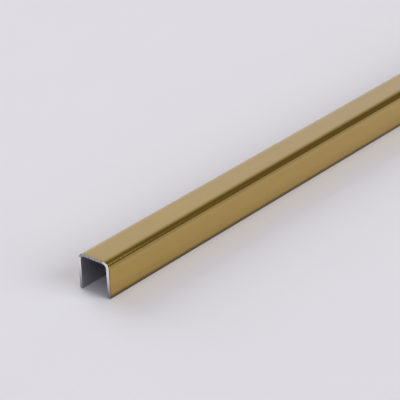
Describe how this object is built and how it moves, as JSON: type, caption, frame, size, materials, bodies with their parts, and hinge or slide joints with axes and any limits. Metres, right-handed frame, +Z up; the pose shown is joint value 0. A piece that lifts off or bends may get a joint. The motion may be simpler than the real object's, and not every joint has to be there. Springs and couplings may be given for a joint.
{
  "type": "stainless steel u-channel",
  "caption": "Straight length of folded sheet-metal U-channel trim, mirror gold outside and bare inside, for capping or edging a panel.",
  "frame": {"origin": "on the floor below the middle of the web, halfway along the stock", "axes": "+X along the stock, +Y across the web towards the left leg, +Z up from the legs' feet to the web; the groove opens towards -Z"},
  "size_m": [1, 0.01, 0.01],
  "materials": {
    "gold_coated_stainless": "stainless steel sheet with a mirror-polished, gold-toned vapour-deposited coat on the outside; bare grey mill finish inside the groove and on every cut edge"
  },
  "bodies": {
    "root": {"u_channel": "gold_coated_stainless"}
  },
  "joints": []
}
